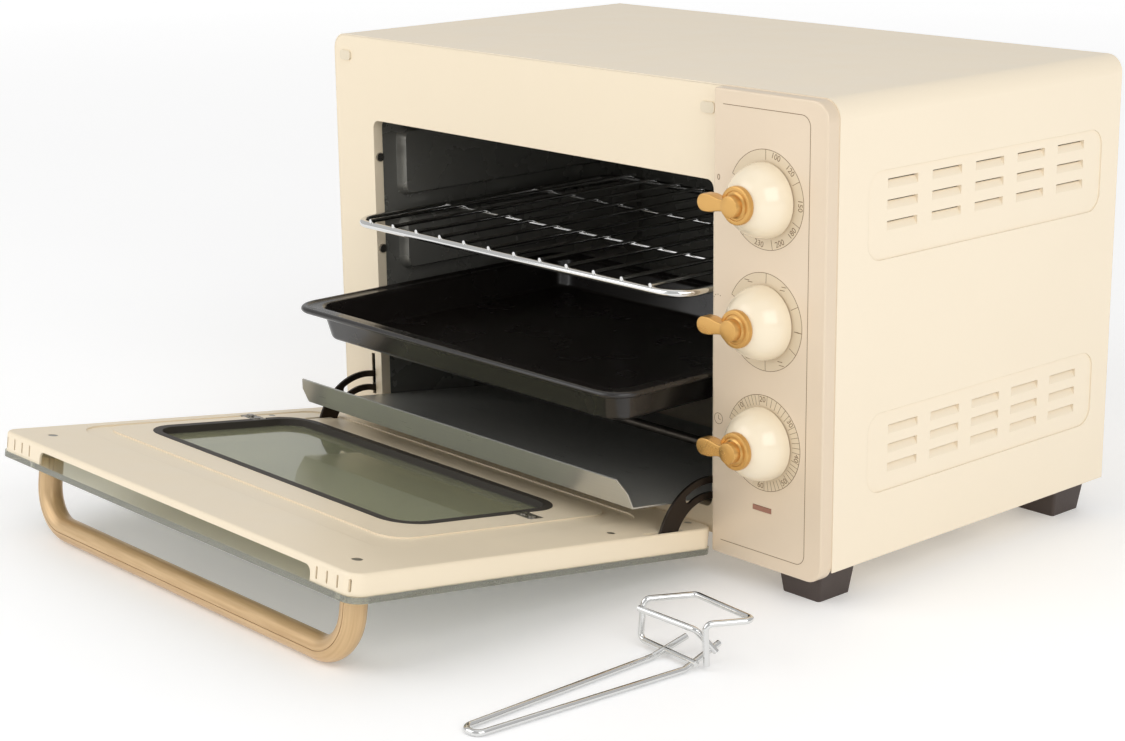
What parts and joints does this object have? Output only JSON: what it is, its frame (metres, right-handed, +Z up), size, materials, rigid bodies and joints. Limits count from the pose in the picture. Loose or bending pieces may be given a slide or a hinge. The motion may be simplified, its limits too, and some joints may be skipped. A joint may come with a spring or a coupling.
{
  "type": "toaster oven",
  "caption": "Table-top oven with a drop-down glass door, bar handle, side dial panel, wire rack, baking pan, crumb tray and a bent-wire tray lifter.",
  "frame": {"origin": "on the floor plane, under the middle of the whole object's box with the door open and the loose pieces out", "axes": "+X to the right seen from the front, +Y from the door to the back, +Z up"},
  "size_m": [0.5304, 0.5804, 0.319],
  "materials": {
    "cover_paint": "satin",
    "front_paint": "satin",
    "panel_plastic": "fine pearl, satin",
    "dome_plastic": "polished",
    "gold_metal": "satin",
    "handle_plastic": "wood-tone, fine grain",
    "cavity_enamel": "semi-gloss",
    "chrome_wire": "polished",
    "pan_enamel": "gloss",
    "crumb_sheet": "rolled",
    "outer_glass": "clear, faint green",
    "inner_glass": "clear, faint green",
    "seal_rubber": "matte",
    "foot_plastic": "moulded",
    "heater_steel": "oxidised",
    "insulator_ceramic": "matte",
    "screw_steel": "zinc plated",
    "dark_steel": "blackened",
    "switch_plastic": "moulded",
    "lens_plastic": "tinted",
    "lamp_glass": "clear"
  },
  "bodies": {
    "housing": {"outer_cover": "cover_paint", "back_cover": "cover_paint", "back_screws": "screw_steel", "base_plate": "cover_paint", "front_frame": "front_paint", "flange_screws": "screw_steel", "frame_bumpers": "seal_rubber", "control_panel": "panel_plastic", "cavity_left_wall": "cavity_enamel", "cavity_right_wall": "cavity_enamel", "cavity_back_wall": "cavity_enamel", "cavity_top_wall": "cavity_enamel", "heater_insulators": "insulator_ceramic", "heater_bottom_front": "heater_steel", "heater_bottom_rear": "heater_steel", "heater_top_front": "heater_steel", "heater_top_rear": "heater_steel", "thermostat": "switch_plastic", "function_switch": "switch_plastic", "timer": "switch_plastic", "indicator_lens": "lens_plastic", "indicator_lamp": "lamp_glass", "terminal_block": "switch_plastic", "cord_gland": "switch_plastic", "foot_screws": "screw_steel", "foot_front_left": "foot_plastic", "foot_front_right": "foot_plastic", "foot_rear_left": "foot_plastic", "foot_rear_right": "foot_plastic", "hinge_bracket_left": "dark_steel", "hinge_bracket_right": "dark_steel"},
    "door": {"hinge_pins": "screw_steel", "hinge_arm_pins": "screw_steel", "door_frame": "front_paint", "door_outer_glass": "outer_glass", "door_inner_glass": "inner_glass", "door_seal": "seal_rubber", "glass_clips": "screw_steel", "clip_screws": "screw_steel", "door_screws": "screw_steel", "handle_front": "handle_plastic", "handle_back": "handle_plastic", "handle_screws": "screw_steel"},
    "left_check_arm": {"hinge_arm_left": "dark_steel"},
    "right_check_arm": {"hinge_arm_right": "dark_steel"},
    "rack": {"wire_rack": "chrome_wire"},
    "pan": {"baking_tray": "pan_enamel"},
    "crumb_drawer": {"crumb_tray": "crumb_sheet"},
    "lifter": {"tray_lifter": "chrome_wire"},
    "temperature_dial": {"temperature_shaft": "screw_steel", "temperature_dome": "dome_plastic", "temperature_lever": "gold_metal"},
    "function_dial": {"function_shaft": "screw_steel", "function_dome": "dome_plastic", "function_lever": "gold_metal"},
    "timer_dial": {"timer_shaft": "screw_steel", "timer_dome": "dome_plastic", "timer_lever": "gold_metal"}
  },
  "joints": [
    {"name": "door_hinge", "type": "hinge", "parent": "housing", "child": "door", "pos_m": [-0.06266, -0.00285, 0.0228], "axis": [1, 0, 0], "range_deg": [-82, 0]},
    {"name": "left_arm_pivot", "type": "hinge", "parent": "door", "child": "left_check_arm", "pos_m": [-0.23016, -0.03762, 0.03212], "axis": [1, 0, 0], "range_deg": [0, 41]},
    {"name": "right_arm_pivot", "type": "hinge", "parent": "door", "child": "right_check_arm", "pos_m": [0.13524, -0.03762, 0.03212], "axis": [1, 0, 0], "range_deg": [0, 41]},
    {"name": "rack_slide", "type": "slide", "parent": "housing", "child": "rack", "axis": [0, 1, 0], "range_m": [0, 0.0341]},
    {"name": "baking_tray_slide", "type": "slide", "parent": "housing", "child": "pan", "axis": [0, 1, 0], "range_m": [0, 0.0871]},
    {"name": "crumb_tray_tilt_slide", "type": "hinge", "parent": "housing", "child": "crumb_drawer", "pos_m": [-0.04416, 0.0434, 0.87987], "axis": [1, 0, 0], "range_deg": [0, 7.21]},
    {"name": "temperature_turn", "type": "hinge", "parent": "housing", "child": "temperature_dial", "pos_m": [0.18484, -0.01185, 0.254], "axis": [0, 1, 0], "range_deg": [0, 270]},
    {"name": "function_turn", "type": "hinge", "parent": "housing", "child": "function_dial", "pos_m": [0.18484, -0.01185, 0.1776], "axis": [0, 1, 0], "range_deg": [0, 300]},
    {"name": "timer_turn", "type": "hinge", "parent": "housing", "child": "timer_dial", "pos_m": [0.18484, -0.01185, 0.0997], "axis": [0, 1, 0], "range_deg": [0, 300]},
    {"name": "lifter_lift", "type": "slide", "parent": "housing", "child": "lifter", "axis": [0, 0, 1], "range_m": [0, 0.25]}
  ],
  "couplings": [
    {"joint": "left_arm_pivot", "follows": "door_hinge", "ratio": -0.5},
    {"joint": "right_arm_pivot", "follows": "door_hinge", "ratio": -0.5},
    {"joint": "rack_slide", "follows": "door_hinge", "m_per_rad": -0.023757},
    {"joint": "baking_tray_slide", "follows": "door_hinge", "m_per_rad": -0.060789},
    {"joint": "crumb_tray_tilt_slide", "follows": "door_hinge", "ratio": -0.087805}
  ]
}
